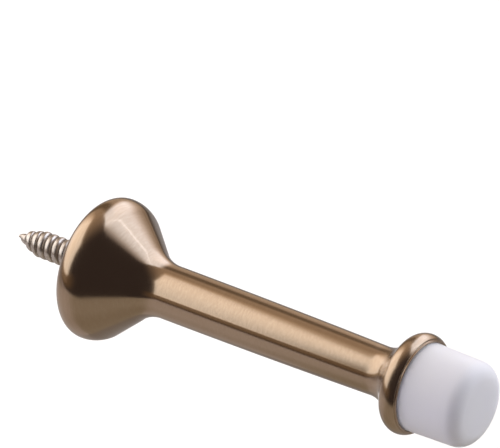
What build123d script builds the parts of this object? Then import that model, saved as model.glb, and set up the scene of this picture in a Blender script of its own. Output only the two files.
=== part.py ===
from build123d import *

import os
from math import cos, pi, radians, sin, sqrt, tan

# Rigid door stop: a cast metal post with a rubber tip and a wall screw.
# The wall is the plane y = 0. The stop stands out from it along -Y, the screw
# runs into it along +Y, and Z is up. All sizes are in millimetres.

# Overall
projection = 80.0  # wall to the front of the tip

# Flared base
base_diameter = 25.4
base_widest_at = 2.7  # wall to the widest circle
back_edge_inset = 1.7  # radius lost from the widest circle to the back face
shoulder_radius = 5.2
flare_angle = 42.3  # between the flare and the axis, in degrees
neck_radius = 7.3  # hollow curve from the flare into the shank

# Shank
shank_diameter = 9.56  # at the neck
shank_taper = 1.1  # diameter lost between the neck and the ring

# Ring at the front
ring_thickness = 4.8
ring_wall = 1.05  # metal outside the socket
ring_fillet = 5.4  # hollow curve from the shank into the ring
lip_width = 0.3
socket_depth = 1.6

# Rubber tip
tip_exposed = 11.5  # lip to the front of the tip
tip_diameter = 15.5
tip_draft = 1.2  # degrees
tip_corner_radius = 2.7
tip_clearance = 0.1
plug_diameter = 5.8
plug_length = 7.0
plug_chamfer = 0.6
plug_clearance = 0.05
plug_end_room = 0.5

# Hollow back of the base
rim_land = 1.6
recess_depth = 6.5
recess_floor_width = 1.9
recess_fillet = 0.8
boss_diameter = 8.4
boss_draft = 3.0  # degrees
boss_setback = 0.4

# Wall screw
screw_reach = 16.3  # wall to the point
screw_diameter = 4.8
core_diameter = 3.5
point_length = 4.9
point_flat = 0.45  # diameter left at the very tip
seat_length = 11.0  # held in the boss
seat_diameter = 4.7
seat_clearance = 0.05
seat_chamfer = 0.5

# Wood thread on the screw, right hand
thread_pitch = 1.55
thread_crest = 0.5  # width of the outer edge
thread_root_gap = 0.16  # between one turn and the next
thread_run_in_turns = 0.75
thread_run_out_turns = 1.3
thread_end_room = 0.4  # thread end to the point
thread_start_angle = 122.0  # from +Z towards +X, in degrees
points_per_turn = 16

base_radius = base_diameter / 2
back_radius = base_radius - back_edge_inset
shank_radius = shank_diameter / 2
socket_radius = tip_diameter / 2 + tip_clearance
lip_radius = socket_radius + lip_width
ring_section_radius = ring_thickness / 2
ring_centre_radius = socket_radius + ring_wall - ring_section_radius
lip_at = projection - tip_exposed
ring_at = lip_at - sqrt(ring_section_radius**2 - (lip_radius - ring_centre_radius) ** 2)
socket_floor_at = lip_at - socket_depth
plug_end_at = socket_floor_at - plug_length
seat_end_at = boss_setback + seat_length
thread_stop = screw_reach - thread_end_room
thread_turns = int(thread_stop / thread_pitch)
thread_start = thread_stop - thread_turns * thread_pitch


def on_section(out, radius):
    """Return the point of a half section that is `out` from the wall and `radius` from the axis."""
    return Vector(radius, -out)


def turned(section):
    """Return the solid that a half section sweeps round the Y axis."""
    return revolve(section, Axis.Y)


def polygon_section(*points):
    """Return the half section inside a closed line through the given points."""
    return make_face(Polyline(*points, close=True))


def disc(out_from, out_to, radius):
    """Return a plain cylinder on the axis between two distances from the wall."""
    return turned(
        polygon_section(
            on_section(out_from, 0),
            on_section(out_from, radius),
            on_section(out_to, radius),
            on_section(out_to, 0),
        )
    )


def circle_meeting(centre_a, radius_a, centre_b, radius_b):
    """Return the point nearest the wall where two circles of the section plane cross."""
    between = centre_b - centre_a
    along = (radius_a**2 - radius_b**2 + between.length**2) / (2 * between.length)
    across = sqrt(radius_a**2 - along**2)
    unit = between.normalized()
    foot = centre_a + unit * along
    normal = Vector(-unit.Y, unit.X)
    return max((foot + normal * across, foot - normal * across), key=lambda point: point.Y)


def post_outline():
    """Return the outer half section of the post, from the wall to the lip."""
    flare = radians(flare_angle)
    widest = on_section(base_widest_at, base_radius)
    flare_start = on_section(
        base_widest_at + shoulder_radius * sin(flare),
        base_radius - shoulder_radius * (1 - cos(flare)),
    )
    corner_at = -flare_start.Y + (flare_start.X - shank_radius) / tan(flare)
    neck_run = neck_radius * tan(flare / 2)
    flare_end = on_section(corner_at - neck_run * cos(flare), shank_radius + neck_run * sin(flare))
    neck_end = on_section(corner_at + neck_run, shank_radius)

    # The shank bows in very slightly, on a large circle that is level at the neck.
    bow_drop = shank_taper / 2
    bow_run = ring_at + neck_end.Y
    bow_radius = (bow_run**2 + bow_drop**2) / (2 * bow_drop)
    bow_centre = neck_end - Vector(bow_radius, 0)
    ring_centre = on_section(ring_at, ring_centre_radius)
    fillet_centre = circle_meeting(
        bow_centre, bow_radius + ring_fillet, ring_centre, ring_section_radius + ring_fillet
    )
    shank_end = bow_centre + (fillet_centre - bow_centre).normalized() * bow_radius
    ring_start = ring_centre + (fillet_centre - ring_centre).normalized() * ring_section_radius
    lip = on_section(lip_at, lip_radius)

    rounding = TangentArc(widest, on_section(0, back_radius), tangent=(0, 1))
    shoulder = TangentArc(widest, flare_start, tangent=(0, -1))
    cone = Line(flare_start, flare_end)
    neck = TangentArc(flare_end, neck_end, tangent=cone % 1)
    shank = Bezier(neck_end, Vector(shank_radius, (neck_end.Y + shank_end.Y) / 2), shank_end)
    hollow = TangentArc(shank_end, ring_start, tangent=shank % 1)
    ring = TangentArc(ring_start, lip, tangent=hollow % 1)
    closing = Polyline(lip, on_section(lip_at, 0), on_section(0, 0), on_section(0, back_radius))
    return make_face(rounding + shoulder + cone + neck + shank + hollow + ring + closing)


def back_recess():
    """Return the hollow of the back, with the boss left standing in its middle."""
    boss_radius = boss_diameter / 2
    boss_foot = boss_radius + (recess_depth - boss_setback) * tan(radians(boss_draft))
    section = polygon_section(
        on_section(0, 0),
        on_section(0, back_radius - rim_land),
        on_section(recess_depth, boss_foot + recess_floor_width),
        on_section(recess_depth, boss_foot),
        on_section(boss_setback, boss_radius),
        on_section(boss_setback, 0),
    )
    floor_corners = section.vertices().group_by(Axis.Y)[0]
    return turned(fillet(floor_corners, min(recess_fillet, recess_floor_width * 0.4)))


def make_post():
    """Return the post: base, shank and ring in one casting."""
    screw_hole = disc(0, seat_end_at, seat_diameter / 2 + seat_clearance)
    socket = disc(socket_floor_at, lip_at, socket_radius)
    plug_hole = disc(plug_end_at - plug_end_room, lip_at, plug_diameter / 2 + plug_clearance)
    return turned(post_outline()) - back_recess() - screw_hole - socket - plug_hole


def make_rubber_tip():
    """Return the bumper: the shown body, the part in the socket and the plug."""
    plug_radius = plug_diameter / 2
    tip_radius = tip_diameter / 2
    front_radius = tip_radius - tip_exposed * tan(radians(tip_draft))
    section = polygon_section(
        on_section(plug_end_at, 0),
        on_section(plug_end_at, plug_radius - plug_chamfer),
        on_section(plug_end_at + plug_chamfer, plug_radius),
        on_section(socket_floor_at, plug_radius),
        on_section(socket_floor_at, tip_radius),
        on_section(lip_at, tip_radius),
        on_section(projection, front_radius),
        on_section(projection, 0),
    )
    front_corner = section.vertices().group_by(Axis.Y)[0].sort_by(Axis.X)[-1]
    return turned(fillet(front_corner, tip_corner_radius))


def core_radius_at(depth):
    """Return the radius of the screw's core at a depth in the wall."""
    full = core_diameter / 2
    tip = point_flat / 2
    return min(full, tip + (full - tip) * (screw_reach - depth) / point_length)


def rail_point(turn, half_width, height):
    """Return the point of one helical edge of the thread, `turn` turns from its start.

    Width and height fade to nothing at both ends, so that all edges meet there.
    """
    fade_in = turn / thread_run_in_turns
    fade_out = (thread_turns - turn) / thread_run_out_turns
    growth = min(1.0, fade_in, fade_out)
    depth = thread_start + turn * thread_pitch + growth * half_width
    radius = core_radius_at(depth) + growth * height
    angle = radians(thread_start_angle) + 2 * pi * turn
    return Vector(radius * sin(angle), depth, radius * cos(angle))


def rail_turn(turn, half_width, height):
    """Return one turn of a helical edge, in line with the turns before and after it."""
    shares = [point / points_per_turn for point in range(points_per_turn + 1)]
    points = [rail_point(turn + share, half_width, height) for share in shares]
    step = 1e-4
    tangents = []
    for place in (turn, turn + 1):
        before = max(0, place - step)
        after = min(thread_turns, place + step)
        change = rail_point(after, half_width, height) - rail_point(before, half_width, height)
        tangents.append(change / (after - before))
    return Edge.make_spline(points, tangents=tangents, parameters=shares, scale=False)


def core_circle(depth):
    """Return the circle round the core that the thread's first or last turn starts from."""
    start = radians(thread_start_angle)
    plane = Plane(origin=(0, depth, 0), x_dir=(sin(start), 0, cos(start)), z_dir=(0, 1, 0))
    return Edge.make_circle(core_radius_at(depth), plane)


def make_threaded_core():
    """Return the core with its helical thread, one closed shell of ruled faces."""
    half_root = (thread_pitch - thread_root_gap) / 2
    half_crest = thread_crest / 2
    height = (screw_diameter - core_diameter) / 2
    section = [(-half_root, 0), (-half_crest, height), (half_crest, height), (half_root, 0)]
    rails = [[rail_turn(turn, *corner) for turn in range(thread_turns)] for corner in section]
    first = core_circle(thread_start)
    last = core_circle(thread_stop)

    sides = [
        (rails[side][turn], rails[side + 1][turn])
        for side in range(len(section) - 1)
        for turn in range(thread_turns)
    ]
    roots = list(zip([first] + rails[-1], rails[0] + [last]))
    faces = [Face.make_surface_from_curves(*pair) for pair in sides + roots]
    caps = [Face(Wire([circle])) for circle in (first, last)]
    return Solid(Shell(faces + caps))


def make_wall_screw():
    """Return the screw: the seated end, the core with its thread, and the point."""
    seat_radius = seat_diameter / 2
    seat = turned(
        polygon_section(
            on_section(seat_end_at, 0),
            on_section(seat_end_at, seat_radius - seat_chamfer),
            on_section(seat_end_at - seat_chamfer, seat_radius),
            on_section(boss_setback, seat_radius),
            on_section(0, core_diameter / 2),
            on_section(-thread_start, core_diameter / 2),
            on_section(-thread_start, 0),
        )
    )
    point = turned(
        polygon_section(
            on_section(-thread_stop, 0),
            on_section(-thread_stop, core_radius_at(thread_stop)),
            on_section(-screw_reach, point_flat / 2),
            on_section(-screw_reach, 0),
        )
    )
    return make_threaded_core() + seat + point


parts = {
    "post": make_post(),
    "rubber_tip": make_rubber_tip(),
    "wall_screw": make_wall_screw(),
}

os.makedirs("parts", exist_ok=True)
for name, shape in parts.items():
    export_step(shape, f"parts/{name}.step")
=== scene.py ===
"""Looks of the rigid door stop: a bronze-finished post, its white rubber tip and its wall screw.

The wall is the plane y = 0, the stop stands out from it along -Y and Z is up. Sizes are written
in millimetres and turned to metres when a mesh is made. Angles are in degrees.
"""

import logging
import math
from collections.abc import Callable, Iterable, Sequence
from dataclasses import dataclass, field
from enum import Enum

import bpy
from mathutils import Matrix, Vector


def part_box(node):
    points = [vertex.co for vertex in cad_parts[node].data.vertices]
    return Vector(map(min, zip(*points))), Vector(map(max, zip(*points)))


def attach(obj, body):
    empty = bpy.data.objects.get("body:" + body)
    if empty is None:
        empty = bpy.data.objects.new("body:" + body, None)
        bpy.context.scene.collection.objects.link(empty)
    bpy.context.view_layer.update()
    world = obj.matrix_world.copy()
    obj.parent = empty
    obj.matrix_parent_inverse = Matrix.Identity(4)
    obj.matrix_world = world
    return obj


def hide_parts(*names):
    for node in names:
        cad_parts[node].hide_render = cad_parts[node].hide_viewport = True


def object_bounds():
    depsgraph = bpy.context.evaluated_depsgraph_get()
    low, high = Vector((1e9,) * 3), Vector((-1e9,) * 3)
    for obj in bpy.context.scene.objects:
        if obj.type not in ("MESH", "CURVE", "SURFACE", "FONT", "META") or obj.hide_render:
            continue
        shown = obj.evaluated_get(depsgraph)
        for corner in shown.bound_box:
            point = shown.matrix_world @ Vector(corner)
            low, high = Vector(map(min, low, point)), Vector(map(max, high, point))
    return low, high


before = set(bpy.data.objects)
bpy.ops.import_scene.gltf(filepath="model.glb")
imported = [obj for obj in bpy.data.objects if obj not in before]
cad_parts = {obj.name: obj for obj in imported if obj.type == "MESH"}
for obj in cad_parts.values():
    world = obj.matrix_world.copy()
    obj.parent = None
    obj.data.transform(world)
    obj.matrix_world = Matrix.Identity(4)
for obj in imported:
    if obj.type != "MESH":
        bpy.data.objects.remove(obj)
CAD_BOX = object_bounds()

Colour = tuple[float, float, float, float]
Socket = bpy.types.NodeSocket

MM = 0.001
BODY = "root"
WHITE: Colour = (1.0, 1.0, 1.0, 1.0)
COOL_LIGHT = (1.0, 1.12, 1.36)
LEVEL_PART = (1.0, 1.0, 0.0)
NOISE_MIDDLE = 0.5

# Sizes that two pieces share
SOCKET_DEPTH = 1.6
PLUG_DIAMETER = 5.8
SEAT_DIAMETER = 4.7
SEAT_SETBACK = 0.4

log = logging.getLogger("door_stop")


class CadNode(Enum):
    """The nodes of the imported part."""

    POST = "post"
    TIP = "rubber_tip"
    SCREW = "wall_screw"


class FinishSlot(Enum):
    """The record's material slots."""

    BRONZE = "bronze_finish"
    RUBBER = "white_rubber"
    STEEL = "screw_steel"


def select_nothing() -> None:
    """Leave edit mode and deselect every object."""
    if bpy.context.object and bpy.context.object.mode != "OBJECT":
        bpy.ops.object.mode_set(mode="OBJECT")
    bpy.ops.object.select_all(action="DESELECT")


def select_faces(piece: bpy.types.Object, wanted: Callable[[Vector], bool]) -> int:
    """Select the faces of the active piece by their centre, and leave it in edit mode.

    Args:
        piece: The mesh object, in object mode.
        wanted: Says of a face's centre, in metres, if the face is wanted.

    Returns:
        The number of faces selected.
    """
    bpy.ops.object.mode_set(mode="EDIT")
    bpy.ops.mesh.select_mode(type="FACE")
    bpy.ops.mesh.select_all(action="DESELECT")
    bpy.ops.object.mode_set(mode="OBJECT")
    found = 0
    for face in piece.data.polygons:
        face.select = wanted(face.center)
        found += face.select
    bpy.ops.object.mode_set(mode="EDIT")
    return found


def draw_chain(name: str, points: Iterable[Vector]) -> bpy.types.Object:
    """Draw a chain of edges: a primitive shrunk to one point, then extruded from point to point.

    Args:
        name: The name of the new object.
        points: The points, in metres.

    Returns:
        The mesh object, at the origin and in object mode.
    """
    first, *others = points
    select_nothing()
    bpy.ops.mesh.primitive_plane_add(size=MM, location=first, enter_editmode=True)
    piece = bpy.context.object
    piece.name = piece.data.name = name
    bpy.ops.mesh.select_mode(type="VERT")
    bpy.ops.mesh.select_all(action="SELECT")
    bpy.ops.mesh.merge(type="CENTER")
    here = first
    for point in others:
        bpy.ops.mesh.extrude_region_move(TRANSFORM_OT_translate={"value": point - here})
        here = point
    bpy.ops.object.mode_set(mode="OBJECT")
    bpy.ops.object.transform_apply(location=True, rotation=True, scale=True)
    return piece


@dataclass
class HalfSection:
    """Half of a turned piece's section, drawn point by point.

    A point is (out, radius): its distance from the wall along the axis, and its distance from the
    axis. An arc has a point at each spacing, and a bow has one at each stride of spacings.
    """

    spacing: float
    bow_stride: int = 2
    fewest_steps: int = 8
    points: list[tuple[float, float]] = field(default_factory=list)

    def line_to(self, out: float, radius: float) -> None:
        """Draw a straight line to a point."""
        self.points.append((out, radius))

    def arc_to(self, centre: Sequence[float], out: float, radius: float) -> None:
        """Draw an arc to a point, the shorter way round a centre.

        Args:
            centre: The centre of the arc.
            out: The end's distance from the wall.
            radius: The end's distance from the axis.
        """
        centre_out, centre_radius = centre
        start_out, start_radius = self.points[-1]
        swing = math.hypot(start_out - centre_out, start_radius - centre_radius)
        start = math.atan2(start_radius - centre_radius, start_out - centre_out)
        end = math.atan2(radius - centre_radius, out - centre_out)
        sweep = (end - start + math.pi) % (2 * math.pi) - math.pi
        count = max(self.fewest_steps, math.ceil(abs(sweep) * swing / self.spacing))
        for step in range(1, count):
            angle = start + sweep * step / count
            self.line_to(centre_out + swing * math.cos(angle), centre_radius + swing * math.sin(angle))
        self.line_to(out, radius)

    def bow_to(self, handle: Sequence[float], out: float, radius: float) -> None:
        """Draw a slight bow to a point.

        Args:
            handle: The point that both ends of the bow point at.
            out: The end's distance from the wall.
            radius: The end's distance from the axis.
        """
        start_out, start_radius = self.points[-1]
        length = math.hypot(out - start_out, radius - start_radius)
        count = math.ceil(length / (self.bow_stride * self.spacing))
        for step in range(1, count + 1):
            share = step / count
            rest = 1 - share
            self.line_to(
                rest * rest * start_out + 2 * rest * share * handle[0] + share * share * out,
                rest * rest * start_radius + 2 * rest * share * handle[1] + share * share * radius,
            )

    def rounded_to(
        self, corner: Sequence[float], rounding: float, onwards: Sequence[float]
    ) -> None:
        """Draw a line to a corner and round the corner off.

        Args:
            corner: The sharp corner.
            rounding: The radius that it gets.
            onwards: The point that the section goes to after the corner.
        """
        start = Vector(self.points[-1])
        turn = Vector(corner)
        back = (start - turn).normalized()
        ahead = (Vector(onwards) - turn).normalized()
        half = back.angle(ahead) / 2
        run = rounding / math.tan(half)
        centre = turn + (back + ahead).normalized() * rounding / math.sin(half)
        self.line_to(*(turn + back * run))
        self.arc_to(centre, *(turn + ahead * run))


@dataclass(frozen=True)
class Lathe:
    """Turns a half section about the Y axis into a closed mesh."""

    segments: int = 160
    weld: float = 0.002
    edge_break: float = 0.1
    break_segments: int = 3
    sharp_edge: float = 28.0
    smooth_below: float = 32.0

    def turn(self, name: str, section: HalfSection) -> bpy.types.Object:
        """Model a turned piece.

        Args:
            name: The name of the piece.
            section: Its half section, which starts and ends on the axis.

        Returns:
            The finished mesh object, at the origin.
        """
        piece = draw_chain(name, [Vector((radius, -out, 0)) * MM for out, radius in section.points])
        bpy.ops.object.mode_set(mode="EDIT")
        bpy.ops.mesh.select_all(action="SELECT")
        bpy.ops.mesh.spin(
            steps=self.segments, angle=2 * math.pi, center=(0, 0, 0), axis=(0, 1, 0), dupli=False
        )
        bpy.ops.mesh.select_all(action="SELECT")
        bpy.ops.mesh.remove_doubles(threshold=self.weld * MM)
        bpy.ops.mesh.normals_make_consistent(inside=False)
        self.soften_edges()
        bpy.ops.object.mode_set(mode="OBJECT")
        bpy.ops.object.shade_smooth_by_angle(angle=math.radians(self.smooth_below))
        return piece

    def soften_edges(self) -> None:
        """Round off every sharp edge of the mesh in edit mode a little, as polishing does."""
        bpy.ops.mesh.select_mode(type="EDGE")
        bpy.ops.mesh.select_all(action="DESELECT")
        bpy.ops.mesh.edges_select_sharp(sharpness=math.radians(self.sharp_edge))
        bpy.ops.mesh.bevel(
            offset=self.edge_break * MM, segments=self.break_segments, affect="EDGES", clamp_overlap=True
        )


class NodeTree:
    """Adds nodes to a material, a world or a group, and wires them up."""

    def __init__(self, tree: bpy.types.NodeTree) -> None:
        """Start on a tree, with nothing in it."""
        self.tree = tree
        tree.nodes.clear()

    def add(self, kind: str, inputs: dict | None = None, **settings: object) -> bpy.types.Node:
        """Add a node.

        Args:
            kind: The node's type, without ShaderNode.
            inputs: A value or another node's output for inputs, by name or number.
            **settings: The node's own properties.

        Returns:
            The node.
        """
        node = self.tree.nodes.new("ShaderNode" + kind)
        for name, value in settings.items():
            setattr(node, name, value)
        for key, value in (inputs or {}).items():
            if isinstance(value, Socket):
                self.tree.links.new(value, node.inputs[key])
            else:
                node.inputs[key].default_value = value
        return node

    def math(self, operation: str, *values: object) -> Socket:
        """Add a Math node and return its output."""
        return self.add("Math", dict(enumerate(values)), operation=operation).outputs[0]

    def vector(self, operation: str, *values: object) -> Socket:
        """Add a Vector Math node and return its vector."""
        return self.add("VectorMath", dict(enumerate(values)), operation=operation).outputs["Vector"]

    def dot(self, first: object, second: object) -> Socket:
        """Return the dot product of two vectors."""
        return self.add("VectorMath", {0: first, 1: second}, operation="DOT_PRODUCT").outputs["Value"]

    def length(self, vector: object) -> Socket:
        """Return the length of a vector."""
        return self.add("VectorMath", {0: vector}, operation="LENGTH").outputs["Value"]

    def split(self, vector: object) -> bpy.types.NodeOutputs:
        """Return the X, Y and Z of a vector."""
        return self.add("SeparateXYZ", {0: vector}).outputs

    def join(self, *values: object) -> Socket:
        """Return the vector of an X, a Y and a Z."""
        return self.add("CombineXYZ", dict(enumerate(values))).outputs[0]

    def ease(
        self, value: object, low: float, high: float, start: object = 0.0, end: object = 1.0
    ) -> Socket:
        """Return what goes smoothly from start to end as a value goes from low to high."""
        inputs = {"Value": value, "From Min": low, "From Max": high, "To Min": start, "To Max": end}
        return self.add("MapRange", inputs, interpolation_type="SMOOTHSTEP").outputs["Result"]

    def mix(self, share: object, first: object, second: object, **settings: object) -> Socket:
        """Return a colour that goes from the first to the second as the share goes from 0 to 1."""
        # A Mix node's colour sockets share their names with others, so they go by number.
        inputs = {0: share, 6: first, 7: second}
        return self.add("Mix", inputs, data_type="RGBA", **settings).outputs[2]

    def on_piece(self) -> Socket:
        """Return the place on the piece, in metres."""
        return self.add("TexCoord").outputs["Object"]

    def bump(self, height: Socket, depth: float, strength: float) -> Socket:
        """Return the normals of a relief whose full height is the depth."""
        inputs = {"Height": height, "Distance": depth * MM, "Strength": strength}
        return self.add("Bump", inputs).outputs[0]

    def surface(self, inputs: dict) -> None:
        """End a material with its Principled shader."""
        shader = self.add("BsdfPrincipled", inputs)
        self.add("OutputMaterial", {"Surface": shader.outputs[0]})


def new_material(name: str) -> tuple[bpy.types.Material, NodeTree]:
    """Make an empty material and start on its nodes.

    Args:
        name: The material's name.

    Returns:
        The material and its nodes.
    """
    material = bpy.data.materials.new(name)
    material.use_nodes = True
    return material, NodeTree(material.node_tree)


class Group:
    """A node group that several finishes share."""

    def __init__(self, name: str, inputs: dict[str, float], outputs: Iterable[str]) -> None:
        """Make the group with its sockets.

        Args:
            name: The group's name.
            inputs: Its number inputs, with their first values.
            outputs: Its number outputs.
        """
        self.tree = bpy.data.node_groups.new(name, "ShaderNodeTree")
        for socket, value in inputs.items():
            self.add_socket(socket, "INPUT").default_value = value
        for socket in outputs:
            self.add_socket(socket, "OUTPUT")
        self.nodes = NodeTree(self.tree)
        self.given = self.tree.nodes.new("NodeGroupInput").outputs
        self.result = self.tree.nodes.new("NodeGroupOutput").inputs

    def add_socket(self, name: str, side: str) -> bpy.types.NodeTreeInterfaceSocket:
        """Add a number socket to the outside of the group."""
        return self.tree.interface.new_socket(name, in_out=side, socket_type="NodeSocketFloat")

    def put_out(self, socket: str, value: Socket) -> None:
        """Wire a value to one of the group's outputs."""
        self.tree.links.new(value, self.result[socket])

    def place(self, nodes: NodeTree, values: dict[str, float]) -> bpy.types.NodeOutputs:
        """Place the group in a finish.

        Args:
            nodes: The nodes of the finish.
            values: The finish's own values for the inputs that don't keep their first ones.

        Returns:
            The outputs of the group there.
        """
        node = nodes.tree.nodes.new("ShaderNodeGroup")
        node.node_tree = self.tree
        for socket, value in values.items():
            node.inputs[socket].default_value = value
        return node.outputs


def turned_grain_group(streak_low: float = -0.12, streak_high: float = 0.22) -> Group:
    """Make the grain that a brush leaves on a piece that turns against it.

    Its streaks run round the Y axis. They are read from the place along the axis, the distance from
    it and the direction round it, so they have no seam and follow a flare as well as a shank.

    Args:
        streak_low: The height, from the grain's middle, up to which the grain is dull.
        streak_high: The height from which a streak is at its brightest.

    Returns:
        The group, with a height for bump and a mask of the brighter streaks.
    """
    first_values = {
        "Streaks per mm": 5.0,
        "Breaks round": 6.0,
        "Contrast": 1.0,
        "Detail": 3.0,
        "Sharpness": 0.65,
    }
    group = Group("Turned grain", first_values, ("Height", "Streak"))
    nodes = group.nodes
    given = group.given
    place = nodes.split(nodes.on_piece())
    across = nodes.join(place["X"], 0.0, place["Z"])
    around = nodes.split(nodes.vector("NORMALIZE", across))
    per_metre = nodes.math("DIVIDE", given["Streaks per mm"], MM)
    noise = nodes.add(
        "TexNoise",
        {
            "Vector": nodes.join(
                nodes.math("MULTIPLY", around["X"], given["Breaks round"]),
                nodes.math("MULTIPLY", place["Y"], per_metre),
                nodes.math("MULTIPLY", around["Z"], given["Breaks round"]),
            ),
            "W": nodes.math("MULTIPLY", nodes.length(across), per_metre),
            "Scale": 1.0,
            "Detail": given["Detail"],
            "Roughness": given["Sharpness"],
        },
        noise_dimensions="4D",
    ).outputs[0]
    from_middle = nodes.math("SUBTRACT", noise, NOISE_MIDDLE)
    relief = nodes.math("MULTIPLY", from_middle, given["Contrast"])
    group.put_out("Height", nodes.math("ADD", relief, NOISE_MIDDLE))
    group.put_out("Streak", nodes.ease(relief, streak_low, streak_high))
    return group


def mottle_group() -> Group:
    """Make a cloudy change over a surface.

    A fine one is the relief of a cast or moulded skin. A coarse one is the slow change of tone that
    plating and moulding leave.

    Returns:
        The group, with a height for bump and a change of the given amount around 0.
    """
    first_values = {"Patches per mm": 0.2, "Detail": 2.0, "Sharpness": 0.5, "Amount": 1.0}
    group = Group("Mottle", first_values, ("Height", "Change"))
    nodes = group.nodes
    noise = nodes.add(
        "TexNoise",
        {
            "Vector": nodes.on_piece(),
            "Scale": nodes.math("DIVIDE", group.given["Patches per mm"], MM),
            "Detail": group.given["Detail"],
            "Roughness": group.given["Sharpness"],
        },
    ).outputs[0]
    from_middle = nodes.math("SUBTRACT", noise, NOISE_MIDDLE)
    group.put_out("Height", noise)
    group.put_out("Change", nodes.math("MULTIPLY", from_middle, group.given["Amount"]))
    return group


@dataclass(frozen=True)
class SharedGroups:
    """The node groups that more than one finish uses."""

    grain: Group
    mottle: Group

    def tone(self, nodes: NodeTree, patches_per_mm: float, amount: float) -> Socket:
        """Return the slow change of tone over a finish, around 0."""
        patches = {"Patches per mm": patches_per_mm, "Amount": amount}
        return self.mottle.place(nodes, patches)["Change"]


@dataclass(frozen=True)
class BronzeFinish:
    """Satin bronze plating, brushed round the axis and lacquered."""

    name: str = "Satin bronze"
    colour: Colour = (0.46, 0.343, 0.236, 1.0)
    groove_colour: Colour = (0.425, 0.308, 0.205, 1.0)
    roughness: float = 0.15
    groove_roughness: float = 0.175
    anisotropy: float = 0.7
    across_the_grain: float = 0.25
    ring_roughness: float = 0.07
    ring_from: float = 57.0
    ring_to: float = 62.0
    lacquer: float = 1.0
    lacquer_roughness: float = 0.08
    streaks_per_mm: float = 5.0
    breaks_round: float = 6.0
    patches_per_mm: float = 0.12
    patchiness: float = 0.5
    grain_depth: float = 0.003
    grain_strength: float = 0.5

    def build(self, shared: SharedGroups) -> bpy.types.Material:
        """Build the material.

        Args:
            shared: The node groups to use.

        Returns:
            The material.
        """
        material, nodes = new_material(self.name)
        streaks = {"Streaks per mm": self.streaks_per_mm, "Breaks round": self.breaks_round}
        grain = shared.grain.place(nodes, streaks)
        tone = shared.tone(nodes, self.patches_per_mm, self.patchiness)
        streak = nodes.math("ADD", grain["Streak"], tone)
        brushed = nodes.ease(streak, 0.0, 1.0, self.groove_roughness, self.roughness)
        along = nodes.split(nodes.on_piece())["Y"]
        softer = nodes.ease(
            along, -self.ring_to * MM, -self.ring_from * MM, self.ring_roughness, 0.0
        )
        nodes.surface(
            {
                "Base Color": nodes.mix(streak, self.groove_colour, self.colour),
                "Metallic": 1.0,
                "Roughness": nodes.math("ADD", brushed, softer),
                "Anisotropic": self.anisotropy,
                "Anisotropic Rotation": self.across_the_grain,
                "Tangent": nodes.add("Tangent", direction_type="RADIAL", axis="Y").outputs[0],
                "Coat Weight": self.lacquer,
                "Coat Roughness": self.lacquer_roughness,
                "Normal": nodes.bump(grain["Height"], self.grain_depth, self.grain_strength),
            }
        )
        return material


@dataclass(frozen=True)
class CastBackFinish:
    """The same plating over the unpolished, as-cast hollow of the back."""

    name: str = "Bronze over rough casting"
    colour: Colour = (0.45, 0.335, 0.23, 1.0)
    pit_colour: Colour = (0.30, 0.215, 0.145, 1.0)
    pits_below: float = 0.36
    pits_gone: float = 0.6
    roughness: float = 0.48
    patches_per_mm: float = 0.3
    patchiness: float = 0.5
    grains_per_mm: float = 2.2
    grain_detail: float = 3.0
    grain_sharpness: float = 0.6
    skin_depth: float = 0.05
    skin_strength: float = 0.7

    def build(self, shared: SharedGroups) -> bpy.types.Material:
        """Build the material.

        Args:
            shared: The node groups to use.

        Returns:
            The material.
        """
        material, nodes = new_material(self.name)
        grains = {
            "Patches per mm": self.grains_per_mm,
            "Detail": self.grain_detail,
            "Sharpness": self.grain_sharpness,
        }
        skin = shared.mottle.place(nodes, grains)["Height"]
        tone = shared.tone(nodes, self.patches_per_mm, self.patchiness)
        raised = nodes.math("ADD", skin, tone)
        clear_of_pits = nodes.ease(raised, self.pits_below, self.pits_gone)
        nodes.surface(
            {
                "Base Color": nodes.mix(clear_of_pits, self.pit_colour, self.colour),
                "Metallic": 1.0,
                "Roughness": self.roughness,
                "Normal": nodes.bump(skin, self.skin_depth, self.skin_strength),
            }
        )
        return material


@dataclass(frozen=True)
class RubberFinish:
    """White moulded rubber with a dull, very fine skin."""

    name: str = "White moulded rubber"
    colour: Colour = (0.885, 0.88, 0.96, 1.0)
    warm_colour: Colour = (0.90, 0.895, 0.96, 1.0)
    roughness: float = 0.46
    roughness_change: float = 0.04
    specular: float = 0.4
    depth_of_light: float = 1.0
    light_by_colour: tuple[float, float, float] = (1.0, 1.0, 1.0)
    light_travel: float = 3.4
    patches_per_mm: float = 0.2
    patchiness: float = 1.6
    grains_per_mm: float = 7.0
    grain_low: float = 0.3
    grain_high: float = 0.7
    skin_depth: float = 0.004
    skin_strength: float = 0.5

    def build(self, shared: SharedGroups) -> bpy.types.Material:
        """Build the material.

        Args:
            shared: The node groups to use.

        Returns:
            The material.
        """
        material, nodes = new_material(self.name)
        tone = shared.tone(nodes, self.patches_per_mm, self.patchiness)
        warmth = nodes.math("ADD", tone, NOISE_MIDDLE)
        skin = shared.mottle.place(nodes, {"Patches per mm": self.grains_per_mm})["Height"]
        smooth = self.roughness - self.roughness_change
        rough = self.roughness + self.roughness_change
        nodes.surface(
            {
                "Base Color": nodes.mix(warmth, self.colour, self.warm_colour),
                "Roughness": nodes.ease(skin, self.grain_low, self.grain_high, smooth, rough),
                "Specular IOR Level": self.specular,
                "Subsurface Weight": self.depth_of_light,
                "Subsurface Radius": self.light_by_colour,
                "Subsurface Scale": self.light_travel * MM,
                "Normal": nodes.bump(skin, self.skin_depth, self.skin_strength),
            }
        )
        return material


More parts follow.
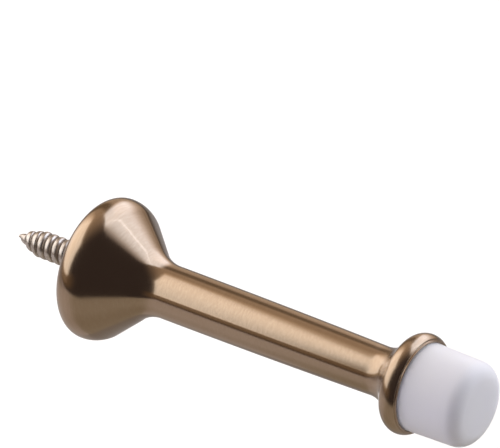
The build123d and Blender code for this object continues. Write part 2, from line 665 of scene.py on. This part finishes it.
@dataclass(frozen=True)
class PlatedSteelFinish:
    """Bright plated steel with the fine marks of thread rolling."""

    name: str = "Bright plated steel"
    colour: Colour = (0.73, 0.69, 0.655, 1.0)
    mark_colour: Colour = (0.54, 0.485, 0.435, 1.0)
    roughness: float = 0.27
    mark_roughness: float = 0.36
    marks_per_mm: float = 5.0
    breaks_round: float = 2.0
    contrast: float = 1.2
    patches_per_mm: float = 0.9
    patchiness: float = 1.0
    mark_depth: float = 0.012
    mark_strength: float = 0.5

    def build(self, shared: SharedGroups) -> bpy.types.Material:
        """Build the material.

        Args:
            shared: The node groups to use.

        Returns:
            The material.
        """
        material, nodes = new_material(self.name)
        marks = {
            "Streaks per mm": self.marks_per_mm,
            "Breaks round": self.breaks_round,
            "Contrast": self.contrast,
        }
        grain = shared.grain.place(nodes, marks)
        tone = shared.tone(nodes, self.patches_per_mm, self.patchiness)
        clean = nodes.math("ADD", grain["Streak"], tone)
        nodes.surface(
            {
                "Base Color": nodes.mix(clean, self.mark_colour, self.colour),
                "Metallic": 1.0,
                "Roughness": nodes.ease(clean, 0.0, 1.0, self.mark_roughness, self.roughness),
                "Normal": nodes.bump(grain["Height"], self.mark_depth, self.mark_strength),
            }
        )
        return material


def dress(
    piece: bpy.types.Object, node: CadNode, slot: FinishSlot, *materials: bpy.types.Material
) -> None:
    """Give a finished piece its materials and its place in the frame.

    Args:
        piece: The mesh object.
        node: The CAD node that it stands for.
        slot: The record's slot for its finish; not used.
        *materials: Its materials, the main one first.
    """
    piece.data.materials.clear()
    for material in materials:
        piece.data.materials.append(material)
    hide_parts(node.value)
    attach(piece, BODY)


def circles_meet(
    first: Vector, first_radius: float, second: Vector, second_radius: float
) -> Vector:
    """Find where two circles of a half section cross.

    Args:
        first: The centre of the first circle.
        first_radius: Its radius.
        second: The centre of the second circle.
        second_radius: Its radius.

    Returns:
        The crossing nearer the wall.
    """
    between = second - first
    along = (first_radius**2 - second_radius**2 + between.length**2) / (2 * between.length)
    across = math.sqrt(first_radius**2 - along**2)
    unit = between.normalized()
    foot = first + unit * along
    normal = Vector((-unit.y, unit.x)) * across
    return min((foot + normal, foot - normal), key=lambda point: point.x)


@dataclass
class Post:
    """The casting: flared base, bowed shank and front ring, hollow at the back."""

    base_widest_at: float = 2.7
    back_edge_inset: float = 1.7
    shoulder_radius: float = 5.2
    flare_angle: float = 42.3
    neck_radius: float = 7.3
    shank_diameter: float = 9.56
    shank_taper: float = 1.1
    ring_thickness: float = 4.8
    ring_wall: float = 1.05
    ring_fillet: float = 5.4
    lip_width: float = 0.3
    lip_rim: float = 0.36
    lip_step: float = 0.27
    lip_rounding: float = 0.05
    socket_clearance: float = 0.1
    plug_clearance: float = 0.05
    plug_hole_depth: float = 7.5
    rim_land: float = 1.6
    recess_depth: float = 6.5
    recess_floor_width: float = 1.9
    recess_fillet: float = 0.76
    recess_narrowing: float = 0.35
    recess_margin: float = 1.0
    recess_edge: float = 0.05
    boss_diameter: float = 8.4
    boss_draft: float = 3.0
    seat_clearance: float = 0.05
    screw_hole_end: float = 11.4
    finest_arc: float = 0.3

    def __post_init__(self) -> None:
        """Work out the sizes that follow from the frame and from the others."""
        low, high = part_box(CadNode.POST.value)
        tip_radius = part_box(CadNode.TIP.value)[1].z / MM
        self.base_radius = high.z / MM
        self.lip_at = -low.y / MM
        self.back_radius = self.base_radius - self.back_edge_inset
        self.mouth_radius = self.back_radius - self.rim_land
        self.shank_radius = self.shank_diameter / 2
        self.socket_radius = tip_radius + self.socket_clearance
        self.ring_radius = self.ring_thickness / 2
        self.ring_centre_radius = self.socket_radius + self.ring_wall - self.ring_radius
        rise = self.socket_radius + self.lip_width - self.ring_centre_radius
        self.ring_at = self.lip_at - math.sqrt(self.ring_radius**2 - rise**2)

    def build(self, bronze: bpy.types.Material, rough: bpy.types.Material) -> bpy.types.Object:
        """Model the post and dress it.

        Args:
            bronze: The brushed finish of the outside.
            rough: The finish of the hollow back.

        Returns:
            The finished piece.
        """
        section = HalfSection(self.finest_arc)
        self.draw_back(section)
        self.draw_flare(section)
        self.draw_shank_and_ring(section)
        self.draw_socket(section)
        piece = Lathe().turn("bronze_post", section)
        dress(piece, CadNode.POST, FinishSlot.BRONZE, bronze, rough)
        self.roughen_back(piece)
        return piece

    def draw_back(self, section: HalfSection) -> None:
        """Draw the screw hole, the boss and the hollow round it, from the axis out to the rim.

        Args:
            section: The half section, still empty.
        """
        hole_radius = SEAT_DIAMETER / 2 + self.seat_clearance
        boss_radius = self.boss_diameter / 2
        boss_rise = self.recess_depth - SEAT_SETBACK
        foot_radius = boss_radius + boss_rise * math.tan(math.radians(self.boss_draft))
        boss_foot = (self.recess_depth, foot_radius)
        floor_edge = (self.recess_depth, foot_radius + self.recess_floor_width)
        rim_edge = (0, self.mouth_radius)
        section.line_to(self.screw_hole_end, 0)
        section.line_to(self.screw_hole_end, hole_radius)
        section.line_to(SEAT_SETBACK, hole_radius)
        section.line_to(SEAT_SETBACK, boss_radius)
        section.rounded_to(boss_foot, self.recess_fillet, floor_edge)
        section.rounded_to(floor_edge, self.recess_fillet, rim_edge)
        section.line_to(*rim_edge)

    def draw_flare(self, section: HalfSection) -> None:
        """Draw the outside from the back face over the shoulder and down into the shank.

        Args:
            section: The half section, drawn up to the rim.
        """
        slope = math.radians(self.flare_angle)
        widest_at = self.base_widest_at
        back_rounding = (widest_at**2 + self.back_edge_inset**2) / (2 * self.back_edge_inset)
        flare_start = (
            widest_at + self.shoulder_radius * math.sin(slope),
            self.base_radius - self.shoulder_radius * (1 - math.cos(slope)),
        )
        corner_at = flare_start[0] + (flare_start[1] - self.shank_radius) / math.tan(slope)
        neck_run = self.neck_radius * math.tan(slope / 2)
        flare_end = (
            corner_at - neck_run * math.cos(slope),
            self.shank_radius + neck_run * math.sin(slope),
        )
        self.neck_end = corner_at + neck_run
        section.line_to(0, self.back_radius)
        section.arc_to((widest_at, self.base_radius - back_rounding), widest_at, self.base_radius)
        section.arc_to((widest_at, self.base_radius - self.shoulder_radius), *flare_start)
        section.line_to(*flare_end)
        neck_centre = (self.neck_end, self.shank_radius + self.neck_radius)
        section.arc_to(neck_centre, self.neck_end, self.shank_radius)

    def draw_shank_and_ring(self, section: HalfSection) -> None:
        """Draw the bowed shank, the hollow curve in front of it and the ring, up to the lip's step.

        Args:
            section: The half section, drawn up to the end of the neck.
        """
        bow_drop = self.shank_taper / 2
        bow_run = self.ring_at - self.neck_end
        bow_radius = (bow_run**2 + bow_drop**2) / (2 * bow_drop)
        bow_centre = Vector((self.neck_end, self.shank_radius - bow_radius))
        ring_centre = Vector((self.ring_at, self.ring_centre_radius))
        hollow_centre = circles_meet(
            bow_centre,
            bow_radius + self.ring_fillet,
            ring_centre,
            self.ring_radius + self.ring_fillet,
        )
        shank_end = bow_centre + (hollow_centre - bow_centre).normalized() * bow_radius
        ring_start = ring_centre + (hollow_centre - ring_centre).normalized() * self.ring_radius
        section.bow_to(((self.neck_end + shank_end.x) / 2, self.shank_radius), *shank_end)
        section.arc_to(hollow_centre, *ring_start)
        step_at = self.lip_at - self.lip_step
        step_rise = math.sqrt(self.ring_radius**2 - (step_at - self.ring_at) ** 2)
        section.arc_to(ring_centre, step_at, self.ring_centre_radius + step_rise)

    def draw_socket(self, section: HalfSection) -> None:
        """Draw the raised lip, the shallow socket and the hole that takes the tip's plug.

        Args:
            section: The half section, drawn up to the outer edge of the lip's step.
        """
        socket_floor_at = self.lip_at - SOCKET_DEPTH
        hole_end_at = socket_floor_at - self.plug_hole_depth
        hole_radius = PLUG_DIAMETER / 2 + self.plug_clearance
        rim_radius = self.socket_radius + self.lip_rim
        step_corner = (self.lip_at - self.lip_step, rim_radius)
        rim_corner = (self.lip_at, rim_radius)
        mouth_corner = (self.lip_at, self.socket_radius)
        floor_corner = (socket_floor_at, self.socket_radius)
        section.rounded_to(step_corner, self.lip_rounding, rim_corner)
        section.rounded_to(rim_corner, self.lip_rounding, mouth_corner)
        section.rounded_to(mouth_corner, self.lip_rounding, floor_corner)
        section.line_to(*floor_corner)
        section.line_to(socket_floor_at, hole_radius)
        section.line_to(hole_end_at, hole_radius)
        section.line_to(hole_end_at, 0)

    def in_hollow(self, centre: Vector) -> bool:
        """Say if a face belongs to the hollow back, the boss and the screw hole's start included.

        Args:
            centre: The face's centre, in metres.

        Returns:
            True between the rim and a little past the hollow's floor, inside its sloping wall.
        """
        deep = -centre.y / MM
        wall = self.mouth_radius * (1 - self.recess_narrowing * deep / self.recess_depth)
        inside = math.hypot(centre.x, centre.z) / MM < wall
        return inside and self.recess_edge < deep < self.recess_depth + self.recess_margin

    def roughen_back(self, piece: bpy.types.Object) -> None:
        """Give the faces of the hollow back the second material.

        Args:
            piece: The dressed post.
        """
        found = select_faces(piece, self.in_hollow)
        piece.active_material_index = 1
        bpy.ops.object.material_slot_assign()
        bpy.ops.object.mode_set(mode="OBJECT")
        log.info("%s: %d faces of the hollow back left rough", piece.name, found)


@dataclass
class RubberTip:
    """The bumper: the body that shows, the part in the socket and the plug."""

    draft: float = 1.2
    corner_radius: float = 2.7
    plug_chamfer: float = 0.6
    finest_arc: float = 0.12
    soft_edge: float = 40.0

    def build(self, rubber: bpy.types.Material) -> bpy.types.Object:
        """Model the tip and dress it.

        Args:
            rubber: The finish.

        Returns:
            The finished piece.
        """
        low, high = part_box(CadNode.TIP.value)
        front = -low.y / MM
        plug_end = -high.y / MM
        radius = high.z / MM
        lip_at = -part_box(CadNode.POST.value)[0].y / MM
        front_radius = radius - (front - lip_at) * math.tan(math.radians(self.draft))
        plug_radius = PLUG_DIAMETER / 2
        seat_at = lip_at - SOCKET_DEPTH
        section = HalfSection(self.finest_arc)
        section.line_to(plug_end, 0)
        section.line_to(plug_end, plug_radius - self.plug_chamfer)
        section.line_to(plug_end + self.plug_chamfer, plug_radius)
        section.line_to(seat_at, plug_radius)
        section.line_to(seat_at, radius)
        section.line_to(lip_at, radius)
        section.rounded_to((front, front_radius), self.corner_radius, (front, 0))
        section.line_to(front, 0)
        lathe = Lathe(sharp_edge=self.soft_edge, smooth_below=self.soft_edge)
        piece = lathe.turn("white_rubber_tip", section)
        dress(piece, CadNode.TIP, FinishSlot.RUBBER, rubber)
        return piece


@dataclass
class WallScrew:
    """The screw: a seated shank and a rolled wood thread that runs out on a gimlet point."""

    core_diameter: float = 3.5
    point_length: float = 4.9
    point_flat: float = 0.45
    pitch: float = 1.55
    root_gap: float = 0.16
    crown_drop: float = 0.42
    crown_roundness: float = 2.4
    groove_narrowness: float = 14.0
    run_in_turns: float = 0.75
    run_out_turns: float = 1.3
    end_room: float = 0.4
    start_angle: float = 122.0
    seat_chamfer: float = 0.5
    spare_turns: int = 2
    steps_per_turn: int = 72
    points_per_pitch: int = 28
    weld_share: float = 0.1
    cut_threshold: float = 0.0005
    flat_end: float = 0.001
    smooth_below: float = 50.0

    def __post_init__(self) -> None:
        """Work out the sizes that follow from the frame and from the others."""
        low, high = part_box(CadNode.SCREW.value)
        self.reach = high.y / MM
        self.seat_end = low.y / MM
        self.thread_radius = high.z / MM
        self.thread_stop = self.reach - self.end_room
        self.turns = int(self.thread_stop / self.pitch)
        self.thread_start = self.thread_stop - self.turns * self.pitch

    def build(self, steel: bpy.types.Material) -> bpy.types.Object:
        """Model the screw and dress it.

        Args:
            steel: The finish.

        Returns:
            The finished piece.
        """
        piece = self.wind_tube()
        self.shape_thread(piece)
        self.cut_ends(piece)
        dress(piece, CadNode.SCREW, FinishSlot.STEEL, steel)
        return piece

    def core_radius(self, depth: float) -> float:
        """Work out the core's radius.

        Args:
            depth: How deep in the wall.

        Returns:
            The radius there.
        """
        full = self.core_diameter / 2
        flat = self.point_flat / 2
        return max(flat, min(full, flat + (full - flat) * (self.reach - depth) / self.point_length))

    def thread_height(self, off_crest: float) -> float:
        """Work out how far a full turn of the thread stands out of the core.

        Args:
            off_crest: The distance along the axis from the middle of the turn's crest.

        Returns:
            The height there.
        """
        full = self.thread_radius - self.core_diameter / 2
        root = (self.pitch - self.root_gap) / 2
        share = min(1.0, abs(off_crest) / root)
        crown = self.crown_drop * share**self.crown_roundness
        groove = (1 - self.crown_drop) * share**self.groove_narrowness
        return full * (1 - crown - groove)

    def surface_radius(self, depth: float, turned: float) -> float:
        """Work out the screw's radius.

        Args:
            depth: How deep in the wall.
            turned: How far round from the thread's start, as a share of a turn.

        Returns:
            The radius there.
        """
        turn = turned + round((depth - self.thread_start) / self.pitch - turned)
        growth = min(turn / self.run_in_turns, (self.turns - turn) / self.run_out_turns)
        growth = max(0.0, min(1.0, growth))
        off_crest = depth - self.thread_start - turn * self.pitch
        return self.core_radius(depth) + growth * self.thread_height(off_crest)

    def wind_tube(self) -> bpy.types.Object:
        """Wind a chain one pitch long round the Y axis, with spare turns at each end.

        Returns:
            The plain tube, open at both ends.
        """
        radius = self.core_diameter / 2
        first = self.thread_start - self.spare_turns * self.pitch
        step = self.pitch / self.points_per_pitch
        points = [
            Vector((0, first + step * count, radius)) * MM for count in range(self.points_per_pitch + 1)
        ]
        piece = draw_chain("plated_wall_screw", points)
        bpy.ops.object.modifier_add(type="SCREW")
        winding = piece.modifiers[0]
        winding.axis = "Y"
        winding.steps = winding.render_steps = self.steps_per_turn
        winding.screw_offset = self.pitch * MM
        winding.iterations = self.turns + 2 * self.spare_turns
        winding.use_merge_vertices = True
        bpy.ops.object.modifier_apply(modifier=winding.name)
        bpy.ops.object.mode_set(mode="EDIT")
        bpy.ops.mesh.select_all(action="SELECT")
        bpy.ops.mesh.remove_doubles(threshold=self.weld_share * step * MM)
        bpy.ops.object.mode_set(mode="OBJECT")
        return piece

    def shape_thread(self, piece: bpy.types.Object) -> None:
        """Push every point of the wound tube out to the thread's surface.

        Args:
            piece: The tube.
        """
        for vertex in piece.data.vertices:
            angle = math.atan2(vertex.co.x, vertex.co.z) - math.radians(self.start_angle)
            radius = self.surface_radius(vertex.co.y / MM, angle / (2 * math.pi)) * MM
            across = Vector((vertex.co.x, 0, vertex.co.z)).normalized() * radius
            vertex.co.x = across.x
            vertex.co.z = across.z

    def cut_ends(self, piece: bpy.types.Object) -> None:
        """Cut the tube square at both ends, close it, and draw the seated end out of the near one.

        Args:
            piece: The tube with its thread.
        """
        bpy.ops.object.mode_set(mode="EDIT")
        for place, side in ((self.reach, 1), (0.0, -1)):
            bpy.ops.mesh.select_all(action="SELECT")
            bpy.ops.mesh.bisect(
                plane_co=(0, place * MM, 0),
                plane_no=(0, side, 0),
                use_fill=True,
                clear_outer=True,
                threshold=self.cut_threshold * MM,
            )
        seat_radius = SEAT_DIAMETER / 2
        self.extend_end(piece, -SEAT_SETBACK, seat_radius)
        self.extend_end(piece, self.seat_end + self.seat_chamfer, seat_radius)
        self.extend_end(piece, self.seat_end, seat_radius - self.seat_chamfer)
        bpy.ops.mesh.select_all(action="SELECT")
        bpy.ops.mesh.normals_make_consistent(inside=False)
        bpy.ops.object.mode_set(mode="OBJECT")
        bpy.ops.object.shade_smooth_by_angle(angle=math.radians(self.smooth_below))

    def extend_end(self, piece: bpy.types.Object, depth: float, radius: float) -> None:
        """Extrude the near end's face and spread it.

        Args:
            piece: The closed screw.
            depth: Where the new face lies.
            radius: The radius of the new face.
        """
        bpy.ops.object.mode_set(mode="OBJECT")
        end = min(vertex.co.y for vertex in piece.data.vertices)
        just_inside = end + self.flat_end * MM
        rim = max(
            math.hypot(vertex.co.x, vertex.co.z)
            for vertex in piece.data.vertices
            if vertex.co.y < just_inside
        )
        select_faces(piece, lambda centre: centre.y < just_inside)
        spread = radius * MM / rim
        bpy.ops.mesh.extrude_region_move(TRANSFORM_OT_translate={"value": (0, depth * MM - end, 0)})
        bpy.ops.transform.resize(value=(spread, 1, spread), center_override=(0, depth * MM, 0))


@dataclass(frozen=True)
class Viewpoint:
    """The camera that took the photograph, worked out from the outline of the stop."""

    heading: float = 54.28
    tilt_down: float = 30.65
    focal_pixels: float = 7209.0
    image_width: int = 500
    base_right: float = -26.63
    base_down: float = 6.89
    base_ahead: float = 1239.64
    sensor: float = 36.0

    def build(self) -> None:
        """Set the camera up so that the base lies where the photograph shows it."""
        data = bpy.data.cameras.new("camera")
        data.sensor_fit = "HORIZONTAL"
        data.sensor_width = self.sensor
        data.lens = self.focal_pixels * self.sensor / self.image_width
        camera = bpy.data.objects.new("camera", data)
        bpy.context.scene.collection.objects.link(camera)
        camera.rotation_euler = (math.radians(90 - self.tilt_down), 0, math.radians(-self.heading))
        base = Vector((self.base_right, -self.base_down, -self.base_ahead)) * MM
        camera.location = -(camera.rotation_euler.to_matrix() @ base)
        bpy.context.scene.camera = camera


def direction(heading: float, height: float) -> Vector:
    """Work out a direction as seen from the stop.

    Args:
        heading: The angle from +Y towards +X.
        height: The angle above level.

    Returns:
        The unit vector.
    """
    level = math.cos(math.radians(height))
    turned = math.radians(heading)
    return Vector((level * math.sin(turned), level * math.cos(turned), math.sin(math.radians(height))))


@dataclass(frozen=True)
class Softbox:
    """One upright soft light, set by the headings and heights of its edges as the stop sees them."""

    name: str
    headings: tuple[float, float]
    heights: tuple[float, float]
    brightness: float
    colour: tuple[float, float, float] = (1.0, 1.0, 1.0)
    fade_left: float = 0.04
    fade_right: float = 0.04
    fade_bottom: float = 0.04
    fade_top: float = 0.04
    edge_share: float = 0.1
    rise_left: float = 0.0
    edge_colour: Colour = (1.0, 0.8, 0.62, 1.0)
    distance: float = 600.0
    in_metal: bool = True

    def build(self, aim: Vector) -> None:
        """Place the light, facing a point.

        Args:
            aim: The point, in metres.
        """
        left, right = self.headings
        distance = self.distance * MM
        low, high = (distance * math.tan(math.radians(height)) for height in self.heights)
        data = bpy.data.lights.new(self.name, type="AREA")
        data.shape = "RECTANGLE"
        data.size = 2 * distance * math.tan(math.radians((right - left) / 2))
        data.size_y = high - low
        data.color = self.colour
        data.energy = self.brightness * math.pi * data.size * data.size_y
        light = bpy.data.objects.new(self.name, data)
        bpy.context.scene.collection.objects.link(light)
        towards = direction((left + right) / 2, 0.0)
        light.location = aim + towards * distance + Vector((0, 0, (low + high) / 2))
        light.rotation_euler = towards.to_track_quat("Z", "Y").to_euler()
        light.visible_camera = False
        light.visible_glossy = self.in_metal
        self.fade_edges(data)
        log.info("%s: from %.0f to %.0f degrees", self.name, left, right)

    def fade_edges(self, data: bpy.types.AreaLight) -> None:
        """Let the cloth of the softbox grow dimmer towards each edge.

        Args:
            data: The light.
        """
        data.use_nodes = True
        nodes = NodeTree(data.node_tree)
        across, up = nodes.split(nodes.add("NewGeometry").outputs["Parametric"])[:2]
        edge = self.edge_share
        left = nodes.ease(across, 1 - self.fade_left, 1.0, 1.0, edge)
        right = nodes.ease(across, 0.0, self.fade_right, edge, 1.0)
        above_edge = nodes.math("SUBTRACT", up, nodes.math("MULTIPLY", across, self.rise_left))
        bottom = nodes.ease(above_edge, 0.0, self.fade_bottom, edge, 1.0)
        top = nodes.ease(up, 1 - self.fade_top, 1.0, 1.0, edge)
        level = nodes.math("MULTIPLY", left, right)
        upright = nodes.math("MULTIPLY", bottom, top)
        strength = nodes.math("MULTIPLY", level, upright)
        tint = nodes.mix(strength, self.edge_colour, WHITE)
        glow = nodes.add("Emission", {"Color": tint, "Strength": strength})
        nodes.add("OutputLight", {"Surface": glow.outputs[0]})


@dataclass(frozen=True)
class Zone:
    """A round patch of directions, with a soft edge between the cosines of two angles off its middle."""

    heading: float
    height: float
    outside: float
    inside: float

    def mask(self, nodes: NodeTree, looking: Socket) -> Socket:
        """Return 1 for a direction well inside the zone and 0 for one outside it."""
        facing = nodes.dot(looking, direction(self.heading, self.height))
        return nodes.ease(facing, self.outside, self.inside)


@dataclass(frozen=True)
class Studio:
    """White paper under and behind the stop, its lamps, and a dim room in front."""

    lights: tuple[Softbox, ...] = (
        Softbox(
            "left softbox",
            headings=(-65.0, 31.0),
            heights=(-6.0, 64.6),
            brightness=1.36,
            fade_right=0.32,
            fade_top=0.15,
            fade_bottom=0.03,
            rise_left=0.1,
            distance=350.0,
        ),
        Softbox(
            "right softbox",
            headings=(62.0, 172.0),
            heights=(4.0, 73.0),
            brightness=1.45,
            colour=COOL_LIGHT,
            fade_left=0.15,
            fade_right=0.4,
            fade_bottom=0.16,
        ),
        Softbox(
            "front fill",
            headings=(124.0, 164.0),
            heights=(-20.0, 28.0),
            brightness=2.5,
            colour=(1.0, 1.03, 1.1),
            in_metal=False,
        ),
        Softbox(
            "left fill",
            headings=(-94.0, -44.0),
            heights=(-38.0, 6.0),
            brightness=2.8,
            colour=(1.0, 1.05, 1.36),
            in_metal=False,
        ),
        Softbox(
            "edge lamp",
            headings=(127.0, 129.0),
            heights=(26.0, 78.0),
            brightness=1.6,
            colour=COOL_LIGHT,
            fade_top=0.6,
        ),
        Softbox(
            "top fill",
            headings=(-110.0, 0.0),
            heights=(50.0, 80.0),
            brightness=0.55,
            colour=(1.0, 1.02, 1.1),
            in_metal=False,
        ),
    )
    floor_below: float = 90.0
    floor_radius: float = 1055.0
    floor_behind: float = 807.0
    floor_heading: float = 45.0
    floor_corners: int = 128
    white_zone: Zone = Zone(54.0, -36.0, 0.968, 0.99)
    # Painted light on the paper: lighter towards the left lamp, darker on the right, browner towards the
    # front.
    paper_painted_lit_left: Colour = (0.605, 0.567, 0.535, 1.0)
    paper_painted_dim_right: Colour = (0.36, 0.342, 0.322, 1.0)
    painted_lit_left_zone: Zone = Zone(-50.0, 0.0, -0.6, 0.9)
    paper_front: Colour = (0.46, 0.425, 0.35, 1.0)
    front_zone: Zone = Zone(-140.0, 0.0, 0.25, 0.85)
    paper_fade: float = 60.0
    paper_glow: float = 0.75
    table: Colour = (0.12, 0.11, 0.10, 1.0)
    shade: Colour = (0.84, 0.81, 0.76, 1.0)
    shade_core: float = 33.0
    shade_radius: float = 110.0
    room_dark: Colour = (0.056, 0.044, 0.043, 1.0)
    room_lit: Colour = (0.54, 0.41, 0.3, 1.0)
    lit_zone: Zone = Zone(36.0, 20.0, -0.15, 0.9)
    gap: Colour = (0.21, 0.15, 0.095, 1.0)
    gap_zone: Zone = Zone(45.0, 30.0, 0.3, 0.6)
    gap_heading: float = 124.0
    gap_height: float = -26.0
    gap_core: float = 0.05
    gap_edge: float = 0.2
    horizon: Colour = (0.2, 0.14, 0.09, 1.0)
    horizon_zone: Zone = Zone(-30.0, 0.0, 0.3, 0.85)
    horizon_core: float = 0.08
    horizon_edge: float = 0.26

    def build(self) -> None:
        """Build the lights, the room and the floor."""
        low, high = CAD_BOX
        aim = (Vector(low) + Vector(high)) / 2
        for light in self.lights:
            light.build(aim)
        self.build_room()
        self.build_floor()

    def sees_white(self, nodes: NodeTree, looking: Socket) -> Socket:
        """Mask the rays that see the paper as plain white.

        Args:
            nodes: The tree to add to.
            looking: The direction from the stop to what is seen.

        Returns:
            1 for rays from the camera or through glass, and the white zone's mask for reflections.
        """
        path = nodes.add("LightPath").outputs
        reflected = nodes.math("MULTIPLY", path["Is Glossy Ray"], self.white_zone.mask(nodes, looking))
        direct = nodes.math("MAXIMUM", path["Is Camera Ray"], path["Is Transmission Ray"])
        return nodes.math("MAXIMUM", direct, reflected)

    def build_room(self) -> None:
        """Build the world: a room lit on one side, with a gap between its lights and a low horizon."""
        world = bpy.data.worlds.new("studio room")
        bpy.context.scene.world = world
        world.use_nodes = True
        nodes = NodeTree(world.node_tree)
        looking = nodes.add("TexCoord").outputs["Generated"]
        light = nodes.mix(self.lit_zone.mask(nodes, looking), self.room_dark, self.room_lit)
        across_gap = nodes.dot(looking, direction(self.gap_heading, self.gap_height))
        in_gap = nodes.ease(
            nodes.math("ABSOLUTE", across_gap), self.gap_core, self.gap_edge, 1.0, 0.0
        )
        gap = nodes.math("MULTIPLY", in_gap, self.gap_zone.mask(nodes, looking))
        light = nodes.mix(gap, light, self.gap)
        height = nodes.math("ABSOLUTE", nodes.split(looking)["Z"])
        low_down = nodes.ease(height, self.horizon_core, self.horizon_edge, 1.0, 0.0)
        horizon = nodes.math("MULTIPLY", low_down, self.horizon_zone.mask(nodes, looking))
        light = nodes.mix(horizon, light, self.horizon)
        room = nodes.add("Background", {"Color": light, "Strength": 1.0}).outputs[0]
        white = nodes.add("Background", {"Color": WHITE, "Strength": 1.0}).outputs[0]
        paper = self.sees_white(nodes, looking)
        seen = nodes.add("MixShader", {0: paper, 1: room, 2: white}).outputs[0]
        nodes.add("OutputWorld", {"Surface": seen})

    def build_floor(self) -> None:
        """Build the floor well below the stop, as it is on a skirting board."""
        middle = direction(self.floor_heading, 0.0) * self.floor_behind * MM
        select_nothing()
        bpy.ops.mesh.primitive_circle_add(
            vertices=self.floor_corners,
            radius=self.floor_radius * MM,
            fill_type="NGON",
            location=middle - Vector((0, 0, self.floor_below * MM)),
        )
        floor = bpy.context.object
        floor.name = "floor"
        bpy.ops.object.transform_apply(location=True)
        floor.data.materials.append(self.build_paper(middle))

    def build_paper(self, middle: Vector) -> bpy.types.Material:
        """Build the floor's material: paper painted lighter towards the left lamp, darker to the right
        and browner towards the front, with a painted soft shade under the stop and a fading edge.

        Args:
            middle: The point above the floor's middle, level with the stop.

        Returns:
            The material.
        """
        material, nodes = new_material("White paper")
        place = nodes.on_piece()
        edge = self.floor_radius * MM
        out = nodes.length(nodes.vector("SUBTRACT", place, middle))
        fading = nodes.ease(out, edge - self.paper_fade * MM, edge)
        flat = nodes.vector("MULTIPLY", place, LEVEL_PART)
        level = nodes.vector("NORMALIZE", flat)
        shaded = nodes.ease(
            nodes.length(flat), self.shade_core * MM, self.shade_radius * MM, 1.0, 0.0
        )
        # Painted light: the paper is lighter towards the left lamp and darker to the right, and browner
        # towards the front.
        paper = nodes.mix(self.painted_lit_left_zone.mask(nodes, level), self.paper_painted_dim_right, self.paper_painted_lit_left)
        paper = nodes.mix(self.front_zone.mask(nodes, level), paper, self.paper_front)
        paper = nodes.mix(shaded, paper, self.shade, blend_type="MULTIPLY")
        body = nodes.add("BsdfDiffuse", {"Color": nodes.mix(fading, paper, self.table)}).outputs[0]
        dimmed = nodes.math("MAXIMUM", fading, shaded)
        lift = nodes.ease(dimmed, 0.0, 1.0, self.paper_glow, 1.0)
        white = self.sees_white(nodes, nodes.vector("NORMALIZE", place))
        strength = nodes.math("MULTIPLY", white, lift)
        glow = nodes.add("Emission", {"Color": WHITE, "Strength": strength}).outputs[0]
        both = nodes.add("AddShader", {0: body, 1: glow}).outputs[0]
        nodes.add("OutputMaterial", {"Surface": both})
        return material


def main() -> None:
    """Build the camera, the studio, the finishes and the pieces, in that order."""
    bpy.context.scene.view_settings.view_transform = "Standard"
    Viewpoint().build()
    Studio().build()
    shared = SharedGroups(grain=turned_grain_group(), mottle=mottle_group())
    for piece in (
        Post().build(BronzeFinish().build(shared), CastBackFinish().build(shared)),
        RubberTip().build(RubberFinish().build(shared)),
        WallScrew().build(PlatedSteelFinish().build(shared)),
    ):
        log.info("%s: %d faces", piece.name, len(piece.data.polygons))


if __name__ == "__main__":
    logging.basicConfig(level=logging.INFO, format="%(message)s")
    main()
